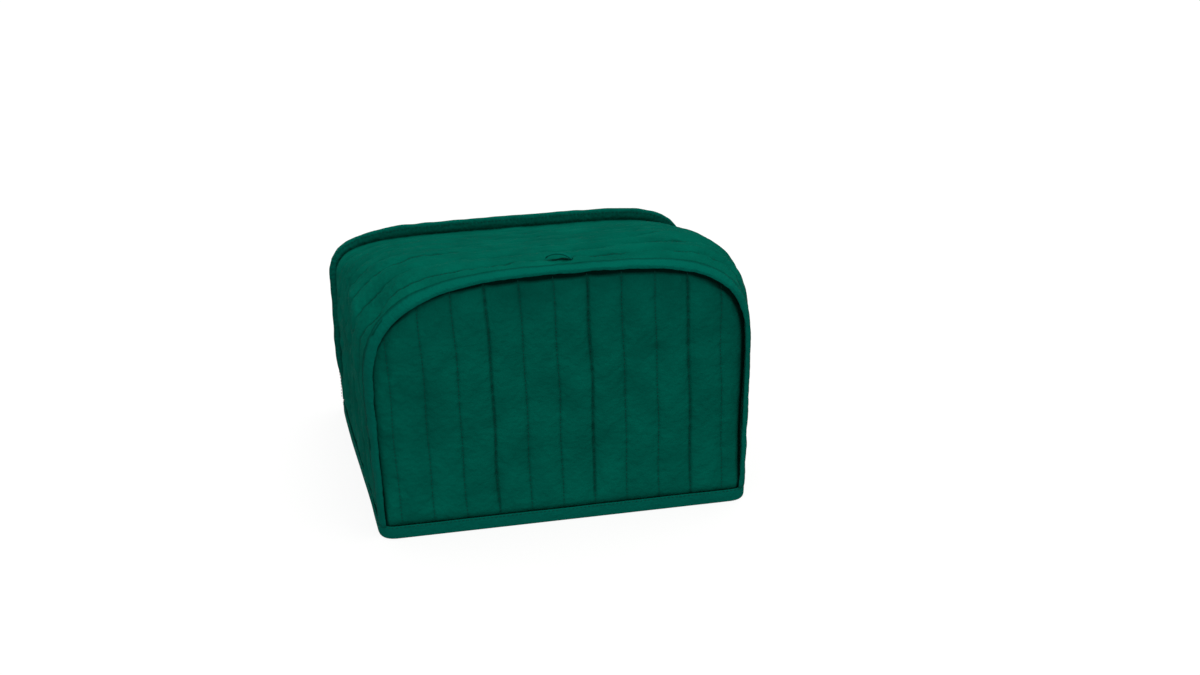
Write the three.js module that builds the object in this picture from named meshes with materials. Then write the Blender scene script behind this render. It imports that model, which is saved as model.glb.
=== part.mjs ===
import * as THREE from 'three';

// Quilted toaster cover: two arched end panels joined by one long gusset, standing on its bound hem.
// Millimetres, +X to the right, +Y towards the back, +Z up, origin on the floor under the middle.

// Driving sizes
const DEPTH = 217; // tip of the front binding to the back of the rear binding
const FRONT = -DEPTH / 2;
const REAR = DEPTH / 2;
const QUILT_PITCH = 25.4; // distance between two sewn lines
const FURROW_HALF = QUILT_PITCH / 3; // how far a sewn line draws the cloth in on either side
const FURROW_POWER = 1.5; // how sharply it does so
const CLOTH = 2.6; // quilted cloth at a crest, face to lining side
const GAP = 0.3; // between two pieces that touch
const HEM_HEIGHT = 12;
const HEM_THICKNESS = 6.2;
const BINDING_PROUD = 0.8; // how far a binding stands over the cloth beside it

// The cover's outer outline at several places behind the tip of the front binding.
// left, right: half widths under the shoulders; leftFlare, rightFlare: what the hem adds to them;
// top: height of the arch; round: height of its rounded part; sag: how far the cloth sinks in the
// middle of the top; leftPower, rightPower: how square each shoulder is.
const SECTIONS = [
  {
    back: 0, left: 143.6, right: 144.3, leftFlare: -0.8, rightFlare: -0.2,
    top: 217.4, sag: 0, round: 94, leftPower: 2.9, rightPower: 3.5,
  },
  {
    back: 14, left: 149.0, right: 148.0, leftFlare: -3.4, rightFlare: -0.3,
    top: 220.0, sag: 2, round: 94, leftPower: 3.0, rightPower: 3.5,
  },
  {
    back: 50, left: 151.0, right: 151.0, leftFlare: -2.4, rightFlare: -0.5,
    top: 217.0, sag: 6, round: 88, leftPower: 3.3, rightPower: 3.9,
  },
  {
    back: 100, left: 154.5, right: 150.5, leftFlare: -0.4, rightFlare: 0.8,
    top: 205.5, sag: 7, round: 78, leftPower: 3.6, rightPower: 4.1,
  },
  {
    back: 155, left: 158.0, right: 143.5, leftFlare: 2.4, rightFlare: 3.6,
    top: 186.5, sag: 4, round: 64, leftPower: 4.2, rightPower: 4.2,
  },
  {
    back: 206, left: 161.0, right: 136.5, leftFlare: 4.0, rightFlare: 5.0,
    top: 165.0, sag: 0, round: 54, leftPower: 5.4, rightPower: 5.2,
  },
  {
    back: 217, left: 161.0, right: 135.5, leftFlare: 4.0, rightFlare: 5.0,
    top: 163.2, sag: 0, round: 52, leftPower: 5.4, rightPower: 5.2,
  },
];
const SAG_FLAT = 0.2; // the sag is full up to this share of the half width
const SAG_END = 0.85; // and has gone at this share
const FLARE_POWER = 1.5;
const HALF_LENGTH = 320; // hem to middle along the cloth, for distances on the gusset

// Sewn lines of the gusset, by distance behind the tip, with the depth of each furrow
const GUSSET_LINES = [
  { back: 26.0, furrow: 1.1 },
  { back: 51.4, furrow: 1.9 },
  { back: 76.8, furrow: 0.9 },
  { back: 102.2, furrow: 0.9 },
  { back: 127.6, furrow: 1.8 },
  { back: 153.0, furrow: 0.9 },
  { back: 178.4, furrow: 1.2 },
];
const GUSSET_WANDER = 1.6; // how far a sewn line strays on the loose cloth

// Folds of the gusset: soft ridges (+) and hollows (-) along a path of places on the cloth.
// A place is [around, back]. around: -1 left hem, 0 middle of the top, 1 right hem; back: as above.
const FOLDS = [
  {
    name: 'left shoulder, crease from the top', rise: 2.0, width: 5,
    path: [[-0.3, 74], [-0.4, 92], [-0.47, 116]],
  },
  {
    name: 'left side, front ridge', rise: 3.0, width: 6,
    path: [[-0.49, 108], [-0.52, 57], [-0.61, 36], [-0.77, 52], [-0.96, 60]],
  },
  {
    name: 'left shoulder, branch to the band', rise: 2.6, width: 5,
    path: [[-0.49, 84], [-0.49, 52], [-0.54, 24]],
  },
  {
    name: 'left shoulder, hollow at the band', rise: -5.0, width: 13,
    path: [[-0.43, 44], [-0.45, 20]],
  },
  {
    name: 'left side, middle ridge', rise: 2.6, width: 6,
    path: [[-0.54, 200], [-0.59, 161], [-0.59, 106], [-0.64, 68]],
  },
  {
    name: 'left side, rear ridge', rise: 2.2, width: 6,
    path: [[-0.65, 190], [-0.72, 184], [-0.62, 92]],
  },
  {
    name: 'left side, low rear ridge', rise: 2.2, width: 7,
    path: [[-0.76, 190], [-0.82, 160], [-0.94, 166]],
  },
  {
    name: 'left side, low front ridge', rise: 2.2, width: 6,
    path: [[-0.66, 72], [-0.76, 86], [-0.94, 100]],
  },
  {
    name: 'left side, low hollow', rise: -3.0, width: 12,
    path: [[-0.7, 122], [-0.92, 130]],
  },
  {
    name: 'right shoulder, front wrinkle', rise: 1.8, width: 5,
    path: [[0.08, 40], [0.28, 26], [0.5, 22]],
  },
  {
    name: 'right shoulder, middle wrinkle', rise: 2.2, width: 6,
    path: [[0.12, 66], [0.32, 44], [0.54, 34]],
  },
  {
    name: 'right shoulder, rear wrinkle', rise: 2.2, width: 7,
    path: [[0.16, 94], [0.36, 68], [0.56, 54]],
  },
  {
    name: 'right side, ridge', rise: 2.0, width: 10,
    path: [[0.6, 88], [0.78, 96], [0.95, 100]],
  },
  {
    name: 'right side, rear hollow', rise: -3.0, width: 16,
    path: [[0.55, 150], [0.8, 146]],
  },
];
const FOLD_FADE = 14; // folds and furrows die out over this distance from the two seams

// Front binding: a rolled band over the front seam
const FRONT_BAND_DEPTH = 8.5;
const BAND_THICKNESS = 4.4;
const BAND_SHOULDER = 3.5; // where the rounding of its tip begins
const BAND_ROLL = 0.7; // how far the band is drawn in just behind the tip
const BAND_FOOT_SETBACK = 2.6; // how far the tip draws back where it meets the hem
const BAND_FOOT_FADE = 30; // height over which it does so

// Rear binding: stands straight out of the rear seam
const REAR_BAND_THICKNESS = 5;
const REAR_BAND_HEIGHTS = { top: 9.6, side: 6, foot: 1.9 };
const REAR_BAND_SHOULDER = [0.36, 0.56]; // around: where it goes from the top's height to the side's
const REAR_BAND_FOOT = [0.8, 1]; // around: where it goes down to the foot's
const REAR_BAND_EDGE = 1.4; // bevel of its edges
const REAR_BAND_CLEAR = 0.4; // between the gusset and its underside
const REAR_TUCK = 0.9; // how far the gusset reaches under it

// End panels
const FRONT_RECESS = 7.5; // how far the front panel lies behind the tip of its binding
const FRONT_RECESS_AT_HEM = 3.4;
const RECESS_FADE = 45; // height over the hem where the panel has reached its full recess
const FRONT_PANEL_INSET = 4.3; // from the cover's outline to the panel's edge
const FRONT_FACE_RISE = 0.4; // crest of a channel over the panel's mean plane
const PANEL_WAVE = 0.7;
const BACK_PANEL_INSET = 0.9;
const BACK_PANEL_PLACE = 3; // distance of its section from the rear tip
const PANEL_LINES_START = -129; // first sewn line of a panel, from the middle
const PANEL_WANDER = 0.4;
const LINES_LEAN = 0.021; // the front's lines lean to the left by this much of their height
const LINES_LEAN_FROM = 112; // height at which they have their nominal place
const FURROWS = [0.7, 0.8, 0.9, 1.0, 1.7, 1.0, 0.9, 1.9, 1.0, 1.0, 1.6]; // depth of each panel line
const EDGE_COLUMNS = [7, 4, 1.8, 0.5, 0]; // extra columns at these distances from a panel's edge

// Hem binding: one ring round the bottom edge, its front corners rounded and a little lifted
const HEM_FRONT_CORNER = 12;
const HEM_REAR_CORNER = 6.8;
const HEM_SETBACK = 1.2; // the ring lies this far inside the tips of the two bindings
const HEM_EDGE = 1.2;
const HEM_CORNER_LIFT = 2;
const CORNER_STEPS = 6;
const RUN_STEPS = 10;

// Lift loop: a short strip of the same cloth on the top, behind the front binding
const LOOP = { from: [-8, -81], to: [13, -94], rise: 4.4, bow: 0.7, width: 8, thickness: 1.2, steps: 10 };

const HALF_STEPS = 38; // steps along half an outline
const OUTLINE_POINTS = 120; // points that measure the length of half an outline
const ARCH_SHARE = 0.75; // share of those points that lies on the rounded part

// Outline and gusset surface

function sectionAt(back) {
  const last = SECTIONS.length - 1;
  let i = 0;
  while (i < last - 1 && SECTIONS[i + 1].back < back) i += 1;
  const a = SECTIONS[i];
  const b = SECTIONS[i + 1];
  const before = SECTIONS[Math.max(i - 1, 0)];
  const after = SECTIONS[Math.min(i + 2, last)];
  const span = b.back - a.back;
  const t = (back - a.back) / span;
  const result = {};
  for (const key of Object.keys(a)) {
    const startSlope = (b[key] - before[key]) / (b.back - before.back) * span;
    const endSlope = (after[key] - a[key]) / (after.back - a.back) * span;
    result[key] = (2 * t ** 3 - 3 * t ** 2 + 1) * a[key] + (t ** 3 - 2 * t ** 2 + t) * startSlope
      + (3 * t ** 2 - 2 * t ** 3) * b[key] + (t ** 3 - t ** 2) * endSlope;
  }
  return result;
}

// How far the middle of the top sinks at a share of the half width
function sagAt(section, share) {
  return section.sag * (1 - THREE.MathUtils.smoothstep(share, SAG_FLAT, SAG_END));
}

// Half an outline from the middle of the top to the hem: a superellipse, then a side that flares a little
function halfOutline(section, side) {
  const half = side < 0 ? section.left : section.right;
  const flare = side < 0 ? section.leftFlare : section.rightFlare;
  const power = 2 / (side < 0 ? section.leftPower : section.rightPower);
  const spring = section.top - section.round;
  const points = [];
  for (let i = 0; i <= OUTLINE_POINTS; i += 1) {
    const t = i / OUTLINE_POINTS;
    const angle = Math.min(t / ARCH_SHARE, 1) * Math.PI / 2;
    const share = Math.sin(angle) ** power;
    const fall = Math.max(0, (t - ARCH_SHARE) / (1 - ARCH_SHARE));
    const arch = spring + section.round * Math.max(Math.cos(angle), 0) ** power - sagAt(section, share);
    const z = fall > 0 ? THREE.MathUtils.lerp(spring, HEM_HEIGHT + GAP, fall) : arch;
    points.push(new THREE.Vector2(side * (half * share + flare * fall ** FLARE_POWER), z));
  }
  return points;
}

// Height of the arch over a place across it, for an outline made smaller by an inset
function archHeight(section, x, inset) {
  const half = (x < 0 ? section.left : section.right) - inset;
  const power = x < 0 ? section.leftPower : section.rightPower;
  const share = Math.min(Math.abs(x) / half, 1);
  const arch = (section.round - inset) * (1 - share ** power) ** (1 / power);
  return section.top - section.round + arch - sagAt(section, share);
}

// Evenly spaced places on an outline. around: -1 left hem, 0 middle of the top, 1 right hem
const outlineCache = new Map();

function measuredOutline(section, side) {
  const key = `${section.back.toFixed(4)}${side}`;
  if (!outlineCache.has(key)) {
    const points = halfOutline(section, side);
    const lengths = [0];
    points.slice(1).forEach((p, i) => lengths.push(lengths[i] + p.distanceTo(points[i])));
    outlineCache.set(key, { points, lengths });
  }
  return outlineCache.get(key);
}

function outlinePoint(section, around) {
  const { points, lengths } = measuredOutline(section, around < 0 ? -1 : 1);
  const wanted = Math.min(Math.abs(around), 1) * lengths[lengths.length - 1];
  const i = Math.max(1, lengths.findIndex((length) => length >= wanted - 1e-9));
  return points[i - 1].clone().lerp(points[i], (wanted - lengths[i - 1]) / (lengths[i] - lengths[i - 1]));
}

function surfacePoint(around, back) {
  const p = outlinePoint(sectionAt(back), around);
  return new THREE.Vector3(p.x, FRONT + back, p.y);
}

// Outward direction of the outline, square to the depth
function outward(around, back) {
  const step = 0.004;
  const section = sectionAt(back);
  const a = outlinePoint(section, Math.max(around - step, -1));
  const b = outlinePoint(section, Math.min(around + step, 1));
  const along = b.sub(a).normalize();
  return new THREE.Vector3(-along.y, 0, along.x);
}

function coverPoint(around, back, proud) {
  const p = surfacePoint(around, back).addScaledVector(outward(around, back), proud);
  p.z = Math.max(p.z, HEM_HEIGHT + GAP);
  return p;
}

// Distance of a place on the gusset from a fold's path, in mm along the cloth
function foldDistance(path, around, back) {
  let nearest = Infinity;
  for (let i = 1; i < path.length; i += 1) {
    const px = (around - path[i - 1][0]) * HALF_LENGTH;
    const py = back - path[i - 1][1];
    const dx = (path[i][0] - path[i - 1][0]) * HALF_LENGTH;
    const dy = path[i][1] - path[i - 1][1];
    const t = THREE.MathUtils.clamp((px * dx + py * dy) / (dx * dx + dy * dy), 0, 1);
    nearest = Math.min(nearest, Math.hypot(px - t * dx, py - t * dy));
  }
  return nearest;
}

// 1 on most of the gusset, 0 at its two seams
function seamFade(back) {
  const fromSeam = Math.min(back - FRONT_BAND_DEPTH, DEPTH - REAR_BAND_THICKNESS - back);
  return THREE.MathUtils.smoothstep(fromSeam, -1, FOLD_FADE);
}

function foldRelief(around, back) {
  let relief = 0;
  for (const { path, rise, width } of FOLDS) {
    relief += rise * Math.exp(-((foldDistance(path, around, back) / width) ** 2));
  }
  return relief * seamFade(back);
}

function furrowRelief(around, back) {
  let relief = 0;
  for (const line of GUSSET_LINES) {
    const slow = Math.sin(7 * around + line.back);
    const quick = 0.7 * Math.sin(17 * around + 2 * line.back);
    const wander = GUSSET_WANDER * (slow + quick);
    const distance = Math.abs(back - line.back - wander) / FURROW_HALF;
    relief -= line.furrow * Math.max(0, 1 - distance) ** FURROW_POWER;
  }
  return relief * seamFade(back);
}

// Steps along a whole outline, from the left hem over the top to the right hem
function aroundSteps() {
  return Array.from({ length: 2 * HALF_STEPS + 1 }, (_, i) => i / HALF_STEPS - 1);
}

// Closed meshes

function signedVolume(points, faces) {
  let volume = 0;
  for (const [a, b, c] of faces) {
    volume += points[a].dot(new THREE.Vector3().crossVectors(points[b], points[c]));
  }
  return volume / 6;
}

function closedGeometry(points, faces) {
  const outwardFaces = signedVolume(points, faces) < 0 ? faces.map(([a, b, c]) => [a, c, b]) : faces;
  const positions = points.flatMap((p) => [p.x, p.y, p.z]);
  const geometry = new THREE.BufferGeometry();
  geometry.setAttribute('position', new THREE.Float32BufferAttribute(positions, 3));
  geometry.setIndex(outwardFaces.flat());
  geometry.computeVertexNormals();
  return geometry;
}

// A sheet: a face grid, a back grid, and a narrow strip round the four edges
function closedSheet(columns, rows, facePoint, backPoint) {
  const points = [];
  for (const point of [facePoint, backPoint]) {
    for (let i = 0; i < columns; i += 1) {
      for (let j = 0; j < rows; j += 1) points.push(point(i, j));
    }
  }
  const face = (i, j) => i * rows + j;
  const behind = (i, j) => columns * rows + i * rows + j;
  const faces = [];
  const quad = (a, b, c, d) => faces.push([a, b, c], [a, c, d]);
  for (let i = 0; i < columns - 1; i += 1) {
    for (let j = 0; j < rows - 1; j += 1) {
      quad(face(i, j), face(i + 1, j), face(i + 1, j + 1), face(i, j + 1));
      quad(behind(i, j), behind(i, j + 1), behind(i + 1, j + 1), behind(i + 1, j));
    }
  }
  for (let i = 0; i < columns - 1; i += 1) {
    quad(face(i, 0), behind(i, 0), behind(i + 1, 0), face(i + 1, 0));
    quad(face(i, rows - 1), face(i + 1, rows - 1), behind(i + 1, rows - 1), behind(i, rows - 1));
  }
  for (let j = 0; j < rows - 1; j += 1) {
    quad(face(0, j), face(0, j + 1), behind(0, j + 1), behind(0, j));
    quad(face(columns - 1, j), behind(columns - 1, j), behind(columns - 1, j + 1), face(columns - 1, j + 1));
  }
  return closedGeometry(points, faces);
}

// A band: rings of one section along a path, joined end to end or closed by a fan at each end
function closedBand(rings, endless) {
  const size = rings[0].length;
  const points = rings.flat();
  const faces = [];
  const count = endless ? rings.length : rings.length - 1;
  for (let i = 0; i < count; i += 1) {
    const next = (i + 1) % rings.length;
    for (let j = 0; j < size; j += 1) {
      const k = (j + 1) % size;
      const [a, b, c, d] = [i * size + j, next * size + j, next * size + k, i * size + k];
      faces.push([a, b, c], [a, c, d]);
    }
  }
  if (!endless) {
    const end = (rings.length - 1) * size;
    for (let j = 1; j < size - 1; j += 1) {
      faces.push([0, j, j + 1], [end, end + j + 1, end + j]);
    }
  }
  return closedGeometry(points, faces);
}

// Gusset: the long quilted strip up the left side, over the top and down the right side

function gussetGeometry() {
  const around = aroundSteps();
  const end = DEPTH - REAR_BAND_THICKNESS + REAR_TUCK;
  const backs = [FRONT_BAND_DEPTH + GAP];
  for (const line of GUSSET_LINES) {
    backs.push(line.back - FURROW_HALF, line.back, line.back + FURROW_HALF);
  }
  backs.push(end - FOLD_FADE, end - FOLD_FADE / 2, end);
  // The lining side follows the folds, not the furrows
  const face = (i, j) => {
    const proud = foldRelief(around[i], backs[j]) + furrowRelief(around[i], backs[j]);
    return coverPoint(around[i], backs[j], proud);
  };
  const lining = (i, j) => coverPoint(around[i], backs[j], foldRelief(around[i], backs[j]) - CLOTH);
  return closedSheet(around.length, backs.length, face, lining);
}

// Front binding: a rolled band that stands forward of the front panel

function frontBandGeometry() {
  const inner = BINDING_PROUD - BAND_THICKNESS;
  const profile = [
    { back: FRONT_BAND_DEPTH, proud: BINDING_PROUD },
    { back: 2 * BAND_SHOULDER, proud: BINDING_PROUD },
    { back: BAND_SHOULDER, proud: BINDING_PROUD },
    { back: BAND_SHOULDER / 5, proud: BINDING_PROUD - BAND_ROLL },
    { back: 0, proud: BINDING_PROUD - BAND_THICKNESS / 2 },
    { back: BAND_SHOULDER / 5, proud: inner + BAND_ROLL },
    { back: BAND_SHOULDER, proud: inner },
    { back: FRONT_BAND_DEPTH, proud: inner },
  ];
  return closedBand(aroundSteps().map((around) => profile.map(({ back, proud }) => {
    const height = surfacePoint(around, back).z - HEM_HEIGHT;
    const setback = BAND_FOOT_SETBACK * (1 - THREE.MathUtils.smoothstep(height, 0, BAND_FOOT_FADE));
    return coverPoint(around, back + setback * (1 - back / FRONT_BAND_DEPTH), proud);
  })), false);
}

// Rear binding: both edges of the rear seam, wrapped, standing straight out

function rearBandGeometry() {
  const back = DEPTH - REAR_BAND_THICKNESS;
  return closedBand(aroundSteps().map((around) => {
    const { top, side, foot } = REAR_BAND_HEIGHTS;
    const toSide = THREE.MathUtils.smoothstep(Math.abs(around), ...REAR_BAND_SHOULDER);
    const toFoot = THREE.MathUtils.smoothstep(Math.abs(around), ...REAR_BAND_FOOT);
    const height = THREE.MathUtils.lerp(THREE.MathUtils.lerp(top, side, toSide), foot, toFoot);
    const profile = [
      { deeper: 0, proud: REAR_BAND_CLEAR },
      { deeper: 0, proud: height - REAR_BAND_EDGE },
      { deeper: REAR_BAND_EDGE, proud: height },
      { deeper: REAR_BAND_THICKNESS - REAR_BAND_EDGE, proud: height },
      { deeper: REAR_BAND_THICKNESS, proud: height - REAR_BAND_EDGE },
      { deeper: REAR_BAND_THICKNESS, proud: REAR_BAND_CLEAR },
    ];
    return profile.map(({ deeper, proud }) => {
      const p = coverPoint(around, back, proud);
      p.y += deeper;
      return p;
    });
  }), false);
}

// End panels: arched, flat, quilted in upright channels

function panelLines() {
  return FURROWS.map((furrow, i) => ({ x: PANEL_LINES_START + QUILT_PITCH * i, furrow }));
}

// Places of the columns: on each line, and a few between two lines
function panelColumns(half, perChannel) {
  const columns = [];
  for (const { x } of panelLines()) {
    for (let k = 0; k < perChannel; k += 1) columns.push(x + QUILT_PITCH * k / perChannel);
  }
  const inner = columns.filter((x) => Math.abs(x) < half - EDGE_COLUMNS[0] - 1);
  return [...EDGE_COLUMNS.map((d) => d - half).reverse(), ...inner, ...EDGE_COLUMNS.map((d) => half - d)];
}

function furrowAt(x, z) {
  let depth = 0;
  for (const line of panelLines()) {
    const wander = PANEL_WANDER * Math.sin(z / 31 + line.x) - LINES_LEAN * (z - LINES_LEAN_FROM);
    const distance = Math.abs(x - line.x - wander) / FURROW_HALF;
    depth += line.furrow * Math.max(0, 1 - distance) ** FURROW_POWER;
  }
  return depth;
}

// backAt: distance behind the tip at a height, where the panel is as wide as the outline allows
function panelGeometry({ backAt, inset, rows, perChannel, face, lining }) {
  const upper = sectionAt(backAt(HEM_HEIGHT + RECESS_FADE));
  const bottom = HEM_HEIGHT + GAP;
  const spring = upper.top - upper.round;
  const columns = panelColumns((upper.right + upper.left) / 2 - inset, perChannel);
  const upperMiddle = (upper.right - upper.left) / 2;
  const upperHalf = (upper.right + upper.left) / 2 - inset;
  const place = (i, j) => {
    const arch = archHeight(upper, upperMiddle + columns[i], inset);
    const z = THREE.MathUtils.lerp(bottom, arch, j / (rows - 1));
    const section = sectionAt(backAt(z));
    const low = Math.max(0, 1 - (z - bottom) / (spring - bottom)) ** FLARE_POWER;
    const left = section.left + section.leftFlare * low;
    const right = section.right + section.rightFlare * low;
    const half = (right + left) / 2 - inset;
    return { x: (right - left) / 2 + columns[i] * half / upperHalf, z, across: columns[i] };
  };
  const point = (depth) => (i, j) => {
    const { x, z, across } = place(i, j);
    return new THREE.Vector3(x, depth(across, z), z);
  };
  return closedSheet(columns.length, rows, point(face), point(lining));
}

function recessAt(z) {
  const rise = THREE.MathUtils.smoothstep(z, HEM_HEIGHT, HEM_HEIGHT + RECESS_FADE);
  return THREE.MathUtils.lerp(FRONT_RECESS_AT_HEM, FRONT_RECESS, rise);
}

// The front panel bellies a little between its bound edges
function frontWave(x, z) {
  return PANEL_WAVE * Math.sin(x / 23 + z / 60) * Math.sin(Math.PI * THREE.MathUtils.clamp(z / 200, 0, 1));
}

function frontPanelGeometry() {
  return panelGeometry({
    backAt: recessAt,
    inset: FRONT_PANEL_INSET,
    rows: 12,
    perChannel: 4,
    face: (x, z) => FRONT + recessAt(z) + furrowAt(x, z) + frontWave(x, z) - FRONT_FACE_RISE,
    lining: (x, z) => FRONT + recessAt(z) + CLOTH + frontWave(x, z),
  });
}

function backPanelGeometry() {
  return panelGeometry({
    backAt: () => DEPTH - BACK_PANEL_PLACE,
    inset: BACK_PANEL_INSET,
    rows: 9,
    perChannel: 2,
    face: (x, z) => REAR - BINDING_PROUD - furrowAt(x, z),
    lining: () => REAR - REAR_BAND_THICKNESS + REAR_TUCK + GAP,
  });
}

// Hem binding

function hemHalf(side, y) {
  const section = sectionAt(y - FRONT);
  const half = side < 0 ? section.left + section.leftFlare : section.right + section.rightFlare;
  return half + BINDING_PROUD;
}

// Outer edge of the ring, against the clock from the front right corner; lift: height of its underside
function hemPath() {
  const path = [];
  const frontCentre = FRONT + HEM_SETBACK + HEM_FRONT_CORNER;
  const rearCentre = REAR - HEM_SETBACK - HEM_REAR_CORNER;
  const corners = [
    { side: 1, y: frontCentre, radius: HEM_FRONT_CORNER, from: -90, lift: HEM_CORNER_LIFT },
    { side: 1, y: rearCentre, radius: HEM_REAR_CORNER, from: 0, lift: 0 },
    { side: -1, y: rearCentre, radius: HEM_REAR_CORNER, from: 90, lift: 0 },
    { side: -1, y: frontCentre, radius: HEM_FRONT_CORNER, from: 180, lift: HEM_CORNER_LIFT },
  ];
  const centreOf = ({ side, y, radius }) => side * (hemHalf(side, y) - radius);
  corners.forEach((corner, n) => {
    for (let k = 0; k <= CORNER_STEPS; k += 1) {
      const angle = THREE.MathUtils.degToRad(corner.from + 90 * k / CORNER_STEPS);
      path.push({
        x: centreOf(corner) + corner.radius * Math.cos(angle),
        y: corner.y + corner.radius * Math.sin(angle),
        lift: corner.lift * Math.sin(Math.PI * k / CORNER_STEPS) ** 2,
      });
    }
    const next = corners[(n + 1) % corners.length];
    for (let k = 1; k < RUN_STEPS; k += 1) {
      const t = k / RUN_STEPS;
      if (next.side === corner.side) {
        const y = THREE.MathUtils.lerp(corner.y, next.y, t);
        path.push({ x: corner.side * hemHalf(corner.side, y), y, lift: 0 });
      } else {
        const x = THREE.MathUtils.lerp(centreOf(corner), centreOf(next), t);
        path.push({ x, y: corner.y + Math.sign(corner.y) * corner.radius, lift: 0 });
      }
    }
  });
  return path;
}

function hemGeometry() {
  const path = hemPath();
  const profile = [
    { inward: 0, z: HEM_EDGE, low: true },
    { inward: HEM_EDGE, z: 0, low: true },
    { inward: HEM_THICKNESS - HEM_EDGE, z: 0, low: true },
    { inward: HEM_THICKNESS, z: HEM_EDGE, low: true },
    { inward: HEM_THICKNESS, z: HEM_HEIGHT - HEM_EDGE },
    { inward: HEM_THICKNESS - HEM_EDGE, z: HEM_HEIGHT },
    { inward: HEM_EDGE, z: HEM_HEIGHT },
    { inward: 0, z: HEM_HEIGHT - HEM_EDGE },
  ];
  const rings = path.map((p, i) => {
    const before = path[(i + path.length - 1) % path.length];
    const after = path[(i + 1) % path.length];
    const along = new THREE.Vector2(after.x - before.x, after.y - before.y).normalize();
    return profile.map(({ inward, z, low }) => (
      new THREE.Vector3(p.x - along.y * inward, p.y + along.x * inward, low ? z + p.lift : z)));
  });
  return closedBand(rings, true);
}

// Lift loop: sewn down at both ends

function topHeight([x, y]) {
  return archHeight(sectionAt(y - FRONT), x, 0);
}

function loopGeometry() {
  const from = new THREE.Vector2(...LOOP.from);
  const to = new THREE.Vector2(...LOOP.to);
  const along = to.clone().sub(from).normalize();
  const side = new THREE.Vector2(-along.y, along.x).multiplyScalar(LOOP.width / 2);
  const rings = [];
  for (let i = 0; i <= LOOP.steps; i += 1) {
    const t = i / LOOP.steps;
    const p = from.clone().lerp(to, t);
    const z = THREE.MathUtils.lerp(topHeight(LOOP.from), topHeight(LOOP.to), t)
      + 2 * GAP + LOOP.rise * Math.sin(Math.PI * t) ** LOOP.bow;
    rings.push([[1, 0], [1, LOOP.thickness], [-1, LOOP.thickness], [-1, 0]].map(([s, up]) => (
      new THREE.Vector3(p.x + s * side.x, p.y + s * side.y, z + up))));
  }
  return closedBand(rings, false);
}

// The object

const quiltedGreen = { color: 0x05594a, roughness: 0.82, metalness: 0 };
const bindingGreen = { color: 0x075c4b, roughness: 0.78, metalness: 0 };

function addPiece(group, name, geometry, finish) {
  const mesh = new THREE.Mesh(geometry, new THREE.MeshStandardMaterial(finish));
  mesh.name = name;
  group.add(mesh);
}

const cover = new THREE.Group();
addPiece(cover, 'front_panel', frontPanelGeometry(), quiltedGreen);
addPiece(cover, 'back_panel', backPanelGeometry(), quiltedGreen);
addPiece(cover, 'gusset', gussetGeometry(), quiltedGreen);
addPiece(cover, 'front_binding', frontBandGeometry(), bindingGreen);
addPiece(cover, 'back_binding', rearBandGeometry(), bindingGreen);
addPiece(cover, 'hem_binding', hemGeometry(), bindingGreen);
addPiece(cover, 'lift_loop', loopGeometry(), bindingGreen);

// The rear leans to the left, so the middle of the whole outline is set over the origin
const outline = new THREE.Box3().setFromObject(cover);
cover.position.x = -(outline.min.x + outline.max.x) / 2;
cover.position.y = -(outline.min.y + outline.max.y) / 2;

export default cover;
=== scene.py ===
"""Quilted toaster cover: cloth, seams and stitching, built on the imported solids."""

import math

import bpy
import numpy as np
from mathutils import Matrix, Vector
from mathutils.bvhtree import BVHTree


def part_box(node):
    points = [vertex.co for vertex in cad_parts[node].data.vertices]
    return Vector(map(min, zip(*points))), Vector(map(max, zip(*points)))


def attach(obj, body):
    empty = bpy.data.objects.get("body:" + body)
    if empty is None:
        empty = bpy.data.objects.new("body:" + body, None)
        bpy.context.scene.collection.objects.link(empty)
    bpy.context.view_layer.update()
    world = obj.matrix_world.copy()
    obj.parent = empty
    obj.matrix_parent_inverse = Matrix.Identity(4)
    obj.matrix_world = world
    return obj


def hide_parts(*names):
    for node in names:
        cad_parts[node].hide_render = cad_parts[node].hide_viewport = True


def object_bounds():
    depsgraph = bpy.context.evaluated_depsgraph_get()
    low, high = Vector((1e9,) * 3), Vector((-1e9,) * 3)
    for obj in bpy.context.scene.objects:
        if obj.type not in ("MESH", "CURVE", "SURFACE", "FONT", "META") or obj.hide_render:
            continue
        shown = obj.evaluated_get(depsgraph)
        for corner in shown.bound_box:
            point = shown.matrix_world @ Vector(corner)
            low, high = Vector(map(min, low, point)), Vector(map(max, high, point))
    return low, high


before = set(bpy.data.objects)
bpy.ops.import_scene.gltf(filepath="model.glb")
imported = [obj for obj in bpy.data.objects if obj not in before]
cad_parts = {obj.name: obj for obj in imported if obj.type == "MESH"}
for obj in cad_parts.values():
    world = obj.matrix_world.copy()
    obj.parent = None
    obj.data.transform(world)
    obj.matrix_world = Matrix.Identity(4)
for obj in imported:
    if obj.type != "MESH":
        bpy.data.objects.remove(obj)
solid_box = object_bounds()


# Camera
# It stands to the left of the cover and above it, as in the photograph, with a lens a little longer
# than a normal one.
CAMERA_PLACE = Vector((-0.14526, -1.08326, 0.67172))
CAMERA_YAW = 0.1838
CAMERA_PITCH = 0.4763
CAMERA_ROLL = 0.0079
FOCAL_LENGTH = 45.05  # mm, on a sensor 36 mm wide

forward = Vector((
    math.sin(CAMERA_YAW) * math.cos(CAMERA_PITCH),
    math.cos(CAMERA_YAW) * math.cos(CAMERA_PITCH),
    -math.sin(CAMERA_PITCH),
))
level = Vector((math.cos(CAMERA_YAW), -math.sin(CAMERA_YAW), 0))
down = forward.cross(level)
right = level * math.cos(CAMERA_ROLL) + down * math.sin(CAMERA_ROLL)
upright = level * math.sin(CAMERA_ROLL) - down * math.cos(CAMERA_ROLL)
turned = Matrix((right, upright, -forward)).transposed().to_4x4()

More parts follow.
